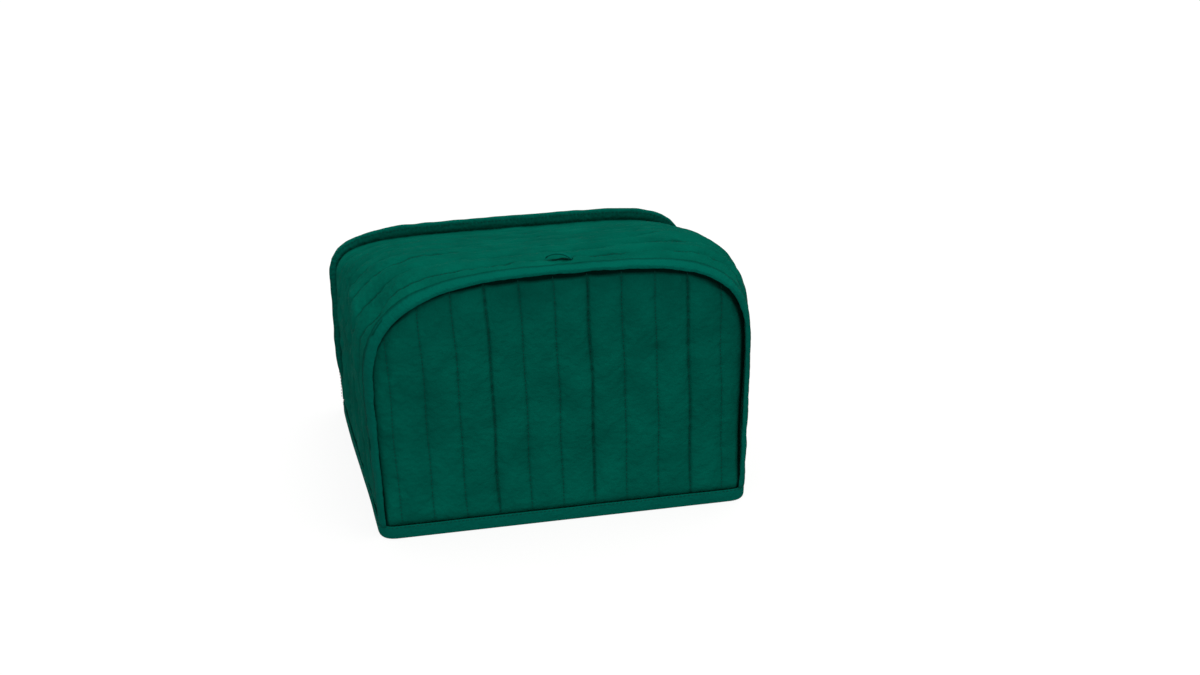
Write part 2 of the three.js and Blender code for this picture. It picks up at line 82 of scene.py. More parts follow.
camera = bpy.data.objects.new("camera", bpy.data.cameras.new("camera"))
camera.data.sensor_width = 36
camera.data.lens = FOCAL_LENGTH
camera.data.clip_start = 0.05
camera.matrix_world = Matrix.Translation(CAMERA_PLACE) @ turned
bpy.context.collection.objects.link(camera)
bpy.context.scene.camera = camera


# Floor and light
# A white sweep of paper under even studio light that grows stronger towards the ceiling, with one soft
# box overhead and one in front. The floor is left out of the light that the cloth gets.
FLOOR_HALF = 14
BELOW, HORIZON, CEILING = 0.22, 0.34, 0.92


def srgb(value):
    """The linear colour of an sRGB hex value"""
    parts = [int(value[i:i + 2], 16) / 255 for i in (0, 2, 4)]
    return [c / 12.92 if c <= 0.04045 else ((c + 0.055) / 1.055) ** 2.4 for c in parts] + [1]


def add(tree, kind, links=(), **values):
    """A new node of a tree, with its settings, the values of its inputs, and links to its inputs"""
    node = tree.nodes.new(kind)
    for name, value in values.items():
        if name in node.bl_rna.properties:
            setattr(node, name, value)
        else:
            node.inputs[name.replace("_", " ")].default_value = value
    for socket, source in dict(links).items():
        tree.links.new(source, node.inputs[socket])
    return node


corners = [(-1, -1), (1, -1), (1, 1), (-1, 1)]
floor_mesh = bpy.data.meshes.new("floor")
floor_mesh.from_pydata([(x * FLOOR_HALF, y * FLOOR_HALF, 0) for x, y in corners], [], [(0, 1, 2, 3)])
floor = bpy.data.objects.new("floor", floor_mesh)
bpy.context.collection.objects.link(floor)
white_paper = bpy.data.materials.new("white paper")
white_paper.use_nodes = True
paper_shader = white_paper.node_tree.nodes["Principled BSDF"]
paper_shader.inputs["Base Color"].default_value = srgb("7c7c7c")
paper_shader.inputs["Roughness"].default_value = 0.9
paper_shader.inputs["Specular IOR Level"].default_value = 0.1
paper_shader.inputs["Emission Color"].default_value = srgb("ffffff")
paper_shader.inputs["Emission Strength"].default_value = 0.86
floor_mesh.materials.append(white_paper)
floor.visible_diffuse = False

world = bpy.data.worlds.new("studio")
world.use_nodes = True
sky = world.node_tree
direction = add(sky, "ShaderNodeTexCoord")
height_of_light = add(sky, "ShaderNodeSeparateXYZ", {"Vector": direction.outputs["Generated"]})
half_up = add(sky, "ShaderNodeMapRange", {"Value": height_of_light.outputs["Z"]}, From_Min=-1.0)
glow = add(sky, "ShaderNodeValToRGB", {"Fac": half_up.outputs["Result"]})
glow.color_ramp.elements[0].color = (BELOW, BELOW, BELOW, 1)
glow.color_ramp.elements[1].color = (CEILING, CEILING, CEILING, 1)
for place, value in ((0.46, BELOW), (0.54, HORIZON)):
    stop = glow.color_ramp.elements.new(place)
    stop.color = (value, value, value, 1)
ray = add(sky, "ShaderNodeLightPath")
backdrop = add(sky, "ShaderNodeMix", {"Factor": ray.outputs["Is Camera Ray"], 6: glow.outputs["Color"]},
               data_type="RGBA")
backdrop.inputs[7].default_value = (1, 1, 1, 1)
sky.links.new(backdrop.outputs[2], sky.nodes["Background"].inputs["Color"])
bpy.context.scene.world = world
bpy.context.scene.view_settings.view_transform = "Standard"

SOFTBOXES = [
    {"name": "overhead", "place": (0.45, -0.1, 1.7), "size": 1.1, "power": 6.5, "colour": "fffff0"},
    {"name": "front", "place": (-0.20, -2.2, 0.55), "size": 0.8, "power": 9.5, "colour": "ffffff"},
]
for box in SOFTBOXES:
    lamp = bpy.data.lights.new(box["name"], "AREA")
    lamp.size = box["size"]
    lamp.energy = box["power"]
    lamp.color = srgb(box["colour"])[:3]
    softbox = bpy.data.objects.new(box["name"], lamp)
    softbox.location = box["place"]
    aim = Vector((0, 0, 0.1)) - Vector(box["place"])
    softbox.rotation_euler = aim.to_track_quat("-Z", "Y").to_euler()
    bpy.context.collection.objects.link(softbox)


# Gusset
# One long strip of quilted cloth that goes up the left side, over the top and down the right side. Two
# layers of dark green cotton with wadding between, sewn through in straight lines an inch apart. It is
# loose on what it covers, so it sags, and wrinkles gather at its shoulders.
LOW, HIGH = (Vector(corner) for corner in solid_box)
FRONT = LOW.y
REAR = HIGH.y
MIDDLE_X = 0.0076  # the front's own middle: the rear leans to the left of it
HEM_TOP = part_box("hem_binding")[1][2]
HEM_TUCK = 0.0036  # how far the cloth goes down into the hem
QUILT_PITCH = 0.0254
CLOTH = 0.0024
HALF_LENGTH = 0.320  # hem to middle of the top along the cloth
GUSSET_ROWS = 129  # from the hem to the middle of the top
GUSSET_COLUMNS = 150
GUSSET_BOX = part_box("gusset")
GUSSET_TUCK = 0.003  # how far it reaches under the front binding
GUSSET_SINK = 0.0012  # and how much lower it lies there
BAND_DEPTH = 0.0085  # front binding, tip to rear edge
REAR_THICKNESS = 0.005  # rear binding, front to back
EDGE_FADE = 0.006  # distance from the two bindings at which the cloth's folds are full
LINES_START = 0.026
LOOP_SHADE = {"path": [(-0.0055, 0.0252), (0.0095, 0.0160)], "half": 0.0026}  # cloth that the loop shades
LINE_COUNT = 7
THREAD_PITCH = 0.0008  # the real one is half of this and would be too fine to show

# Creases, listed one by one. A place is [along the cloth from the middle of the top, left negative; distance
# behind the tip of the front binding].
GUSSET_CREASES = [
    {"name": "left, from the top over the corner", "rise": 0.0010, "width": 0.0028,
     "path": [(-0.085, 0.070), (-0.125, 0.088), (-0.150, 0.112)]},
    {"name": "left, down behind the corner", "rise": 0.0016, "width": 0.0024,
     "path": [(-0.157, 0.106), (-0.164, 0.062), (-0.186, 0.038), (-0.225, 0.044), (-0.280, 0.058)]},
    {"name": "left, branch to the band", "rise": 0.0013, "width": 0.0022,
     "path": [(-0.157, 0.086), (-0.160, 0.055), (-0.172, 0.030)]},
    {"name": "left, hollow at the band", "rise": -0.0016, "width": 0.0090,
     "path": [(-0.138, 0.040), (-0.150, 0.018)]},
    {"name": "left, middle ridge", "rise": 0.0015, "width": 0.0024,
     "path": [(-0.175, 0.190), (-0.188, 0.158), (-0.190, 0.108), (-0.202, 0.070), (-0.200, 0.052)]},
    {"name": "left, rear ridge", "rise": 0.0012, "width": 0.0024,
     "path": [(-0.206, 0.190), (-0.226, 0.186), (-0.204, 0.120), (-0.196, 0.088)]},
    {"name": "left, low rear ridge", "rise": 0.0012, "width": 0.0028,
     "path": [(-0.245, 0.190), (-0.260, 0.160), (-0.292, 0.166)]},
    {"name": "left, low front ridge", "rise": 0.0012, "width": 0.0026,
     "path": [(-0.210, 0.072), (-0.242, 0.085), (-0.300, 0.096)]},
    {"name": "top, left of the loop", "rise": 0.0008, "width": 0.0034,
     "path": [(-0.020, 0.022), (-0.050, 0.034), (-0.078, 0.032)]},
    {"name": "top, behind the loop", "rise": 0.0011, "width": 0.0026,
     "path": [(-0.010, 0.040), (0.016, 0.034), (0.040, 0.040)]},
    {"name": "right, first wrinkle", "rise": 0.0013, "width": 0.0022,
     "path": [(0.022, 0.036), (0.058, 0.023), (0.094, 0.020), (0.150, 0.024)]},
    {"name": "right, first trough", "rise": -0.0010, "width": 0.0022,
     "path": [(0.028, 0.043), (0.062, 0.032), (0.098, 0.027), (0.150, 0.029)]},
    {"name": "right, second wrinkle", "rise": 0.0014, "width": 0.0022,
     "path": [(0.030, 0.054), (0.062, 0.042), (0.098, 0.034), (0.160, 0.034)]},
    {"name": "right, second trough", "rise": -0.0010, "width": 0.0024,
     "path": [(0.036, 0.062), (0.070, 0.050), (0.108, 0.041), (0.160, 0.040)]},
    {"name": "right, third wrinkle", "rise": 0.0013, "width": 0.0024,
     "path": [(0.040, 0.070), (0.080, 0.058), (0.120, 0.048), (0.168, 0.046)]},
    {"name": "right, fourth wrinkle", "rise": 0.0013, "width": 0.0026,
     "path": [(0.046, 0.092), (0.090, 0.078), (0.130, 0.064), (0.176, 0.060)]},
    {"name": "right, fifth wrinkle", "rise": 0.0011, "width": 0.0028,
     "path": [(0.052, 0.116), (0.096, 0.104), (0.136, 0.086), (0.180, 0.078)]},
    {"name": "right, side ridge", "rise": 0.0012, "width": 0.0032,
     "path": [(0.180, 0.088), (0.240, 0.094), (0.300, 0.100)]},
    {"name": "right, side trough", "rise": -0.0012, "width": 0.0040,
     "path": [(0.172, 0.136), (0.230, 0.142), (0.290, 0.132)]},
]


# Woven cotton, piece-dyed: a matt cloth whose dye lies a little unevenly. Painted shade darkens it where a
# point attribute
# asks: in the sewn lines, in the crevices by the bindings and hem, and under the loop. The weave runs along
# the piece's own flat map, in metres.
def green_cloth(name, light, dark, painted_shade, roughness):
    material = bpy.data.materials.new(name)
    material.use_nodes = True
    tree = material.node_tree
    shader = tree.nodes["Principled BSDF"]
    flat = add(tree, "ShaderNodeUVMap", uv_map="flat")
    place = add(tree, "ShaderNodeTexCoord")
    patches = add(tree, "ShaderNodeTexNoise", {"Vector": place.outputs["Object"]}, Scale=38.0, Detail=6.0)
    dye = add(tree, "ShaderNodeMix", {"Factor": patches.outputs["Fac"]}, data_type="RGBA")
    dye.inputs[6].default_value = srgb(dark)
    dye.inputs[7].default_value = srgb(light)
    # Painted shade: the attribute mixes the dye towards a dark green where shade falls
    painted_shade_layer = add(tree, "ShaderNodeAttribute", attribute_name="painted_shade")
    painted_shade_mix = add(tree, "ShaderNodeMix", {"Factor": painted_shade_layer.outputs["Fac"], 6: dye.outputs[2]}, data_type="RGBA")
    painted_shade_mix.inputs[7].default_value = srgb(painted_shade)
    tree.links.new(painted_shade_mix.outputs[2], shader.inputs["Base Color"])
    threads = []
    for way in ("X", "Y"):
        thread = add(
            tree, "ShaderNodeTexWave", {"Vector": flat.outputs["UV"]},
            wave_type="BANDS", bands_direction=way, Scale=0.314 / THREAD_PITCH, Distortion=0.6,
        )
        threads.append(thread.outputs["Fac"])
    weave = add(tree, "ShaderNodeMath", {0: threads[0], 1: threads[1]}, operation="MULTIPLY")
    rumple = add(tree, "ShaderNodeTexNoise", {"Vector": place.outputs["Object"]}, Scale=240.0, Detail=5.0)
    coarse = add(tree, "ShaderNodeBump", {"Height": rumple.outputs["Fac"]}, Strength=0.9, Distance=0.0018)
    fine = add(
        tree, "ShaderNodeBump", {"Height": weave.outputs["Value"], "Normal": coarse.outputs["Normal"]},
        Strength=0.4, Distance=0.00015,
    )
    tree.links.new(fine.outputs["Normal"], shader.inputs["Normal"])
    shader.inputs["Roughness"].default_value = roughness
    shader.inputs["Specular IOR Level"].default_value = 0.005
    shader.inputs["Sheen Weight"].default_value = 0.06
    shader.inputs["Sheen Roughness"].default_value = 0.5
    shader.inputs["Sheen Tint"].default_value = srgb("018a74")
    return material


# Its dye runs between the first two greens; the third is the dark green of its painted shade
quilted_cotton = green_cloth("quilted green cotton", "01705e", "014c40", "01211b", 0.9)


def ring_object(name, rings, flat, material, painted_shade=None, endless=False):
    """A piece made of rings: across a sheet a ring goes along its face and back along its lining.
    rings: points by ring and by place on it; flat: places on the uncut cloth; painted_shade: painted shade, 0
    to 1 by point."""
    count, size = rings.shape[:2]
    index = np.arange(count * size).reshape(count, size)
    after = np.roll(index, -1, 1)
    quads = np.stack([index[:-1], index[1:], after[1:], after[:-1]], -1).reshape(-1, 4)
    if endless:
        join = np.stack([index[-1], index[0], after[0], after[-1]], -1)
        quads = np.concatenate([quads, join])
    else:
        for ring, turn in ((index[0], 1), (index[-1], -1)):
            back = ring[::-1]
            half = size // 2
            cap = np.stack([ring[:half - 1], ring[1:half], back[1:half], back[:half - 1]], -1)
            quads = np.concatenate([quads, cap[:, ::turn]])
    mesh = bpy.data.meshes.new(name)
    mesh.from_pydata(rings.reshape(-1, 3).tolist(), [], quads.tolist())
    layer = mesh.uv_layers.new(name="flat")
    corner_places = flat.reshape(-1, 2)[quads.reshape(-1)]
    layer.data.foreach_set("uv", corner_places.astype(np.float32).reshape(-1))
    painted_shade_layer = mesh.attributes.new("painted_shade", "FLOAT", "POINT")
    amount = np.zeros(count * size) if painted_shade is None else painted_shade.reshape(-1)
    painted_shade_layer.data.foreach_set("value", np.clip(amount, 0, 1).astype(np.float32))
    mesh.materials.append(material)
    mesh.update()
    mesh.shade_smooth()
    thing = bpy.data.objects.new(name, mesh)
    bpy.context.collection.objects.link(thing)
    return thing


def normals_of(points):
    """Unit normals of a grid of points"""
    normal = np.cross(np.gradient(points, axis=0), np.gradient(points, axis=1))
    return normal / np.maximum(np.linalg.norm(normal, axis=-1, keepdims=True), 1e-12)


def sheet_piece(name, face, flat, painted_shade, material, behind_face=None):
    """A sheet with its lining a cloth's thickness behind its face, or moved by a step where one is given"""
    lining = face - normals_of(face) * CLOTH if behind_face is None else face + behind_face
    rings = np.concatenate([face, lining[:, ::-1]], 1)
    flat = np.concatenate([flat, flat[:, ::-1]], 1)
    painted_shade = np.concatenate([painted_shade, 0 * painted_shade], 1)
    return ring_object(name, rings, flat, material, painted_shade)


def smoothed(points, times):
    """A grid of points with each one drawn towards its four neighbours, the edges along themselves only"""
    for _ in range(times):
        inner = points.copy()
        inner[1:-1] = (points[:-2] + 2 * points[1:-1] + points[2:]) / 4
        points = inner.copy()
        points[:, 1:-1] = (inner[:, :-2] + 2 * inner[:, 1:-1] + inner[:, 2:]) / 4
    return points


def unevenness(x, y, size, seed):
    """Soft waves of about one size in all directions, mostly between -1 and 1"""
    dice = np.random.default_rng(seed)
    total = np.zeros(np.broadcast(x, y).shape)
    for _ in range(14):
        angle = dice.uniform(0, math.pi)
        length = size * dice.uniform(0.7, 1.6)
        along = x * math.cos(angle) + y * math.sin(angle)
        total += np.sin(along * 2 * math.pi / length + dice.uniform(0, 6.3))
    return total / 3.7


def smoothstep(x, low, high):
    t = np.clip((x - low) / (high - low), 0, 1)
    return t * t * (3 - 2 * t)


def crease_height(creases, along, across):
    """Height of all creases of a table over a grid. A crease is a soft ridge or trough on a bent path."""
    height = np.zeros(along.shape)
    for crease in creases:
        path = np.array(crease["path"], float)
        turns = np.linspace(0, len(path) - 1, 6 * len(path))
        x = np.interp(turns, range(len(path)), path[:, 0])
        y = np.interp(turns, range(len(path)), path[:, 1])
        nearest = np.full(along.shape, np.inf)
        share = np.zeros(along.shape)
        for i in range(len(x) - 1):
            dx, dy = x[i + 1] - x[i], y[i + 1] - y[i]
            t = np.clip(((along - x[i]) * dx + (across - y[i]) * dy) / (dx * dx + dy * dy), 0, 1)
            away = np.hypot(along - x[i] - t * dx, across - y[i] - t * dy)
            closer = away < nearest
            nearest[closer] = away[closer]
            share[closer] = (i + t[closer]) / (len(x) - 1)
        ends = np.clip(np.minimum(share, 1 - share) / 0.18, 0, 1) ** 0.7
        height += crease["rise"] * ends * np.exp(-((nearest / crease["width"]) ** 2))
    return height


# A sewn line: a narrow groove in a wider soft hollow, with small puckers that the thread draws
GROOVE = {"deep": 0.0008, "half": 0.0011}
HOLLOW = {"deep": 0.0010, "half": 0.0042}
PUCKER = {"high": 0.00045, "long": 0.0075, "half": 0.0055}


def sewn_line(away, along, tightness, seed):
    """Height of the cloth beside one sewn line"""
    groove = GROOVE["deep"] * np.exp(-((away / GROOVE["half"]) ** 2))
    hollow = HOLLOW["deep"] * np.exp(-((away / HOLLOW["half"]) ** 2))
    pucker = unevenness(along, away * 0.4, PUCKER["long"], seed)
    puckers = PUCKER["high"] * pucker * np.exp(-((away / PUCKER["half"]) ** 2))
    return puckers - tightness * (groove + hollow)


def gathered(places, lines):
    """Evenly spaced places moved closer together round each sewn line"""
    turn = 2 * math.pi * (places - lines) / QUILT_PITCH
    return places - 0.55 * QUILT_PITCH / (2 * math.pi) * np.sin(turn)


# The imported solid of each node, for finding its surface
trees = {
    node: BVHTree.FromPolygons([v.co for v in thing.data.vertices], [p.vertices for p in thing.data.polygons])
    for node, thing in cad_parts.items()
}

FOLD_LIMIT = 0.0020  # no fold or line stands further from the solid's surface
HEM_DRAW = 0.0016  # how far the cloth is drawn in where it goes down into the hem
HEM_FADE = 0.012  # height over the hem at which its folds are full


def drawn_in(relief, height):
    """A cloth's relief, fading out towards the hem, where the tape holds the cloth flat and inside"""
    over = height - HEM_TOP
    return relief * smoothstep(over, 0, HEM_FADE) - HEM_DRAW * (1 - smoothstep(over, -0.001, HEM_FADE / 2))


# At one depth the cover's outline runs from the left hem over the top to the right hem
OUTLINE_CENTRE = 0.085  # height of the point that the rays aim at
RAY_STEP = math.radians(0.3)
OVER_EDGE = 0.0006  # it ends this far above the solid's bottom edge


def half_outline(node, depths, side):
    """The solid's outer outline over some depths, from the middle of the top to the hem on one side"""
    points = []
    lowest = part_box(node)[0][2] + OVER_EDGE
    angle = 0.0
    while angle < math.radians(150):
        ray = Vector((side * math.sin(angle), 0, math.cos(angle)))
        hits = []
        for depth in depths:
            centre = Vector((MIDDLE_X, depth, OUTLINE_CENTRE))
            hit, _, _, travelled = trees[node].ray_cast(centre + ray, -ray, 1.0)
            if hit is not None:
                hits.append((travelled, hit.x, hit.z))
        if not hits or min(hits)[2] < lowest:
            break
        points.append(min(hits)[1:])
        angle += RAY_STEP
    return np.array(points)


def outline(node, depth, count, also=()):
    """Evenly spaced points of the outline, left hem, top, right hem: the same number on both sides"""
    halves = []
    for side in (-1, 1):
        points = half_outline(node, [depth, *also], side)
        along = np.concatenate([[0], np.cumsum(np.hypot(*np.diff(points, axis=0).T))])
        places = np.linspace(0, along[-1], count)
        halves.append(np.stack([
            np.interp(places, along, points[:, 0]),
            np.full(count, depth),
            np.interp(places, along, points[:, 1]),
        ], -1))
    return np.concatenate([halves[0][::-1], halves[1][1:]])


solid_depths = np.linspace(GUSSET_BOX[0][1] + 0.0004, GUSSET_BOX[1][1] - 0.0004, 44)
solid_face = np.stack([outline("gusset", depth, GUSSET_ROWS) for depth in solid_depths], 1)
depths = gathered(np.linspace(solid_depths[0], solid_depths[-1], GUSSET_COLUMNS), FRONT + LINES_START)
depths = np.clip(depths, solid_depths[0], solid_depths[-1])
depths[[0, -1]] = solid_depths[[0, -1]]
gusset_face = np.stack([
    np.stack([np.interp(depths, solid_depths, row[:, k]) for row in solid_face]) for k in range(3)
], -1)
gusset_face = smoothed(gusset_face, 6)
gusset_face[..., 1] = depths

around = np.linspace(-HALF_LENGTH, HALF_LENGTH, 2 * GUSSET_ROWS - 1)[:, None] + 0 * depths
behind = (depths - FRONT)[None, :] + 0 * around
relief = crease_height(GUSSET_CREASES, around, behind)
# On the hanging sides the lines waver in short bends, on the top they run on
on_side = smoothstep(np.abs(around), 0.13, 0.19)
gusset_painted_shade = np.zeros(relief.shape)
line_places = []
for k in range(LINE_COUNT):
    middle = LINES_START + QUILT_PITCH * k
    share = around / HALF_LENGTH
    wander = 0.0016 * (np.sin(7 * share + middle * 1000) + 0.7 * np.sin(17 * share + 2000 * middle))
    wander += on_side * 0.0012 * unevenness(around, 0 * around, 0.026, 30 + k)
    relief += sewn_line(behind - middle - wander, around, 1.0 + 0.3 * on_side, 40 + k)
    # Painted shade in the groove of each sewn line
    gusset_painted_shade += 0.5 * np.exp(-(((behind - middle - wander) / 0.0008) ** 2))
    line_places.append((middle + wander)[:, 0])
relief += 0.00050 * unevenness(around, behind, 0.034, 3)
relief += 0.00024 * unevenness(around, behind * 1.6, 0.012, 4)
relief += on_side * 0.0006 * unevenness(around * 0.3, behind, 0.010, 5)
# The folds lie about the solid's surface, so what is raised or sunk over a wide area comes off again
wide = relief[..., None]
for _ in range(4):
    wide = smoothed(wide, 60)
relief -= wide[..., 0]
relief = FOLD_LIMIT * np.tanh(relief / FOLD_LIMIT)
from_seams = np.minimum(behind - BAND_DEPTH, REAR - FRONT - REAR_THICKNESS - behind)
edge_fade = smoothstep(from_seams, 0, EDGE_FADE)
outwards = normals_of(gusset_face)
if outwards[GUSSET_ROWS, GUSSET_COLUMNS // 2, 2] < 0:
    outwards = -outwards
gusset_relief = drawn_in(relief * (0.25 + 0.75 * edge_fade), gusset_face[..., 2])
gusset_face = gusset_face + outwards * gusset_relief[..., None]
# Painted shade in the crevices beside both bindings; below, a painted shadow on the cloth under the loop
gusset_painted_shade += 0.6 * (1 - smoothstep(from_seams, 0, 0.002))
shade = [{"path": LOOP_SHADE["path"], "rise": 1.6, "width": LOOP_SHADE["half"]}]
gusset_painted_shade += crease_height(shade, around, behind)
# The front edge goes under the binding, and the bottom edges go down into the hem
tucked = gusset_face[:, :1] - outwards[:, :1] * GUSSET_SINK
tucked[..., 1] -= GUSSET_TUCK
gusset_cloth_face = np.concatenate([tucked, gusset_face], 1)
gusset_cloth_face[[0, -1], :, 2] = HEM_TOP - HEM_TUCK
gusset_flat = np.stack([
    np.broadcast_to(around[:, :1], gusset_cloth_face.shape[:2]),
    np.concatenate([behind[:, :1] - GUSSET_TUCK, behind], 1),
], -1)
gusset_painted_shade = np.concatenate([gusset_painted_shade[:, :1], gusset_painted_shade], 1)
gusset = sheet_piece("gusset_cloth", gusset_cloth_face, gusset_flat, gusset_painted_shade, quilted_cotton)
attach(gusset, "root")
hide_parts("gusset")


# Front panel
# A flat arch of the same quilted cloth, its sewn lines upright. Its edge is caught in the seam behind the
# binding, deeper than its face, and three of its lines are drawn tighter than the others.
PANEL_LINES_START = -0.129
PANEL_LINE_COUNT = 11
FRONT_COLUMNS = 330
FRONT_ROWS = 84
FRONT_LEAN = 0.021  # its lines lean to the left by this much of their height
LEAN_FROM = 0.112
FRONT_TIGHTNESS = [0.35, 0.55, 0.7, 1.5, 0.75, 0.7, 1.6, 0.7, 0.6, 1.5, 0.45]
SEAM_DEEP = 0.0046  # how far the panel's edge lies behind its face
SEAM_WIDE = {"side": 0.0030, "arch": 0.0080}  # reach of that slope beside the band and under it
# reach of the painted shade beside the band and under it
SEAM_PAINTED_SHADE = {"side": 0.0018, "arch": 0.0078}
SLOT = {"height": 0.066, "half": 0.030, "deep": 0.0040, "wide": 0.0030}  # the edge gapes on the right


ARCH_SPRING = 0.105  # height over a panel's bottom edge where its sides go over into its arch
FACE_INSET = 0.985  # the rays that find a panel's face stay inside its edge by this share


def panel_face(node, towards, columns, rows, spread):
    """Grid over a panel's outer face, spread a little past its edge, each point's distance from the edge, and
    how much that edge is the arch's (1) or a side's (0). towards: +1 for a face that looks to +Y."""
    near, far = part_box(node)[0][1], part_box(node)[1][1]
    edge = outline(node, (near + far) / 2, 200, also=np.linspace(near + 0.0004, far - 0.0004, 8))
    top = int(edge[:, 2].argmax())
    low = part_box(node)[0][2]
    spring = low + ARCH_SPRING
    left_edge = edge[:top][edge[:top, 2] < spring]
    right_edge = edge[top:][edge[top:, 2] < spring][::-1]
    upper = edge[edge[:, 2] >= spring - 0.004]
    upper = upper[upper[:, 0].argsort()]
    left_top = np.interp(spring, left_edge[:, 2], left_edge[:, 0])
    right_top = np.interp(spring, right_edge[:, 2], right_edge[:, 0])
    middle, half = (left_top + right_top) / 2, (right_top - left_top) / 2
    lines = (PANEL_LINES_START + MIDDLE_X - middle) / half
    even = np.linspace(-1, 1, columns)
    turn = 2 * math.pi * (even - lines) * half / QUILT_PITCH
    share = even - 0.5 * QUILT_PITCH / half / (2 * math.pi) * np.sin(turn) * (1 - even ** 8)
    x_top = middle + share * half
    z_top = np.interp(x_top, upper[:, 0], upper[:, 2])
    grid = np.zeros((columns, rows, 3))
    grid[..., 2] = low + (z_top - low)[:, None] * np.linspace(0, 1, rows)
    at_left = np.interp(np.minimum(grid[..., 2], spring), left_edge[:, 2], left_edge[:, 0])
    at_right = np.interp(np.minimum(grid[..., 2], spring), right_edge[:, 2], right_edge[:, 0])
    grid[..., 0] = (at_left + at_right) / 2 + share[:, None] * (at_right - at_left) / 2
    away = Vector((0, towards, 0))
    for i in range(columns):
        for j in range(rows):
            x = MIDDLE_X + (grid[i, j, 0] - MIDDLE_X) * FACE_INSET
            z = low + OVER_EDGE + (grid[i, j, 2] - low) * FACE_INSET
            hit = trees[node].ray_cast(Vector((x, 0, z)) + away * 0.3, -away)[0]
            grid[i, j, 1] = hit.y if hit else np.nan
    for i in range(columns):
        known = ~np.isnan(grid[i, :, 1])
        grid[i, :, 1] = np.interp(np.arange(rows), np.flatnonzero(known), grid[i, known, 1])
    slope = np.gradient(z_top, x_top)[:, None]
    to_side = (1 - np.abs(share)[:, None]) * half
    to_arch = (z_top[:, None] - grid[..., 2]) / np.sqrt(1 + slope ** 2)
    rim = to_side * to_arch / np.sqrt(to_side ** 2 + to_arch ** 2 + 1e-12)
    under_arch = to_side / np.sqrt(to_side ** 2 + to_arch ** 2 + 1e-12) / np.sqrt(1 + slope ** 2)
    grid[..., 0] += np.sign(share)[:, None] * spread * np.abs(share)[:, None] ** 8
    grid[..., 2] += spread * np.linspace(0, 1, rows) ** 8
    return grid, rim, under_arch


def quilt_panel(grid, towards, tightness, lean, seed):
    """Sewn lines, puckers and unevenness of a panel: the grid with them, its painted shade along the lines,
    and the lines
    """
    across = grid[..., 0] - MIDDLE_X
    height = grid[..., 2]
    relief = 0.0006 * unevenness(across, height * 0.6, 0.050, seed)
    relief += 0.00022 * unevenness(across * 1.6, height, 0.016, seed + 1)
    painted_shade = np.zeros(relief.shape)
    lines = []
    for k in range(PANEL_LINE_COUNT):
        middle = PANEL_LINES_START + QUILT_PITCH * k
        wander = 0.0006 * np.sin(height / 0.031 + middle * 1000)
        wander += 0.0003 * np.sin(height / 0.012 + middle * 700)
        away = across - middle - wander + lean * (height - LEAN_FROM)
        relief += sewn_line(away, height, tightness[k], seed + 10 + k)
        uneven = 0.7 + 0.3 * unevenness(height, 0 * height, 0.006, seed + 30 + k)
        # Painted shade in the groove of each sewn line
        painted_shade += min(0.4 * tightness[k], 0.7) * uneven * np.exp(-((away / 0.0012) ** 2))
        lines.append(np.array([np.interp(0, away[:, j], grid[:, j, 0]) for j in range(grid.shape[1])]))
    quilted = grid.copy()
    quilted[..., 1] += towards * drawn_in(relief, height)
    return quilted, painted_shade, lines


front_grid, front_rim, front_arch = panel_face("front_panel", -1, FRONT_COLUMNS, FRONT_ROWS, 0.0018)
# The solid's own channels are softened first, because the real face is flat between narrow lines
front_grid[..., 1] = smoothed(front_grid[..., 1:2], 60)[..., 0]
front_face, front_painted_shade, front_lines = quilt_panel(front_grid, -1, FRONT_TIGHTNESS, FRONT_LEAN, 20)
seam_wide = SEAM_WIDE["side"] + (SEAM_WIDE["arch"] - SEAM_WIDE["side"]) * front_arch
seam_painted_shade = SEAM_PAINTED_SHADE["side"] + (SEAM_PAINTED_SHADE["arch"] - SEAM_PAINTED_SHADE["side"]) * front_arch
seam = SEAM_DEEP * np.exp(-((front_rim / seam_wide) ** 2))
seam *= 0.25 + 0.75 * smoothstep(front_face[..., 2], HEM_TOP + 0.002, HEM_TOP + 0.030)
slot = SLOT["deep"] * np.exp(-(((front_face[..., 2] - SLOT["height"]) / SLOT["half"]) ** 2))
slot *= np.exp(-((front_rim / SLOT["wide"]) ** 2)) * (front_face[..., 0] > MIDDLE_X)
front_face[..., 1] += seam + slot
# Painted shade in the crevice under the band and beside it, and a painted shade line in the groove over the
# hem
front_painted_shade += 1 - smoothstep(front_rim, seam_painted_shade, seam_painted_shade + 0.0016)
front_painted_shade += 0.5 * (1 - smoothstep(front_face[..., 2] - HEM_TOP, 0, 0.0014))
front_face[:, 0, 2] = HEM_TOP - HEM_TUCK
front_flat = front_face[..., ::2].copy()
front_panel = sheet_piece(
    "front_panel_cloth", front_face, front_flat, front_painted_shade, quilted_cotton, np.array([0, CLOTH, 0]),
)
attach(front_panel, "root")
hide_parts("front_panel")


# Back panel
# A lower and wider arch of the same cloth, caught in the standing seam of the rear binding. The photograph
# doesn't show it, so it is plain.
BACK_COLUMNS = 200
BACK_ROWS = 70

back_grid, back_rim, _ = panel_face("back_panel", 1, BACK_COLUMNS, BACK_ROWS, 0.0008)
back_grid[..., 1] = smoothed(back_grid[..., 1:2], 20)[..., 0]
back_face, back_painted_shade, back_lines = quilt_panel(back_grid, 1, [1.0] * PANEL_LINE_COUNT, 0, 60)
back_face[..., 1] -= 0.0010 * np.exp(-((back_rim / 0.0035) ** 2))
back_face[:, 0, 2] = HEM_TOP - HEM_TUCK
turned_face = back_face[::-1]
back_flat = turned_face[..., ::2].copy()
# Its painted shade along the sewn lines goes on with it
back_panel = sheet_piece("back_panel_cloth", turned_face, back_flat, back_painted_shade[::-1], quilted_cotton)
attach(back_panel, "root")
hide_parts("back_panel")


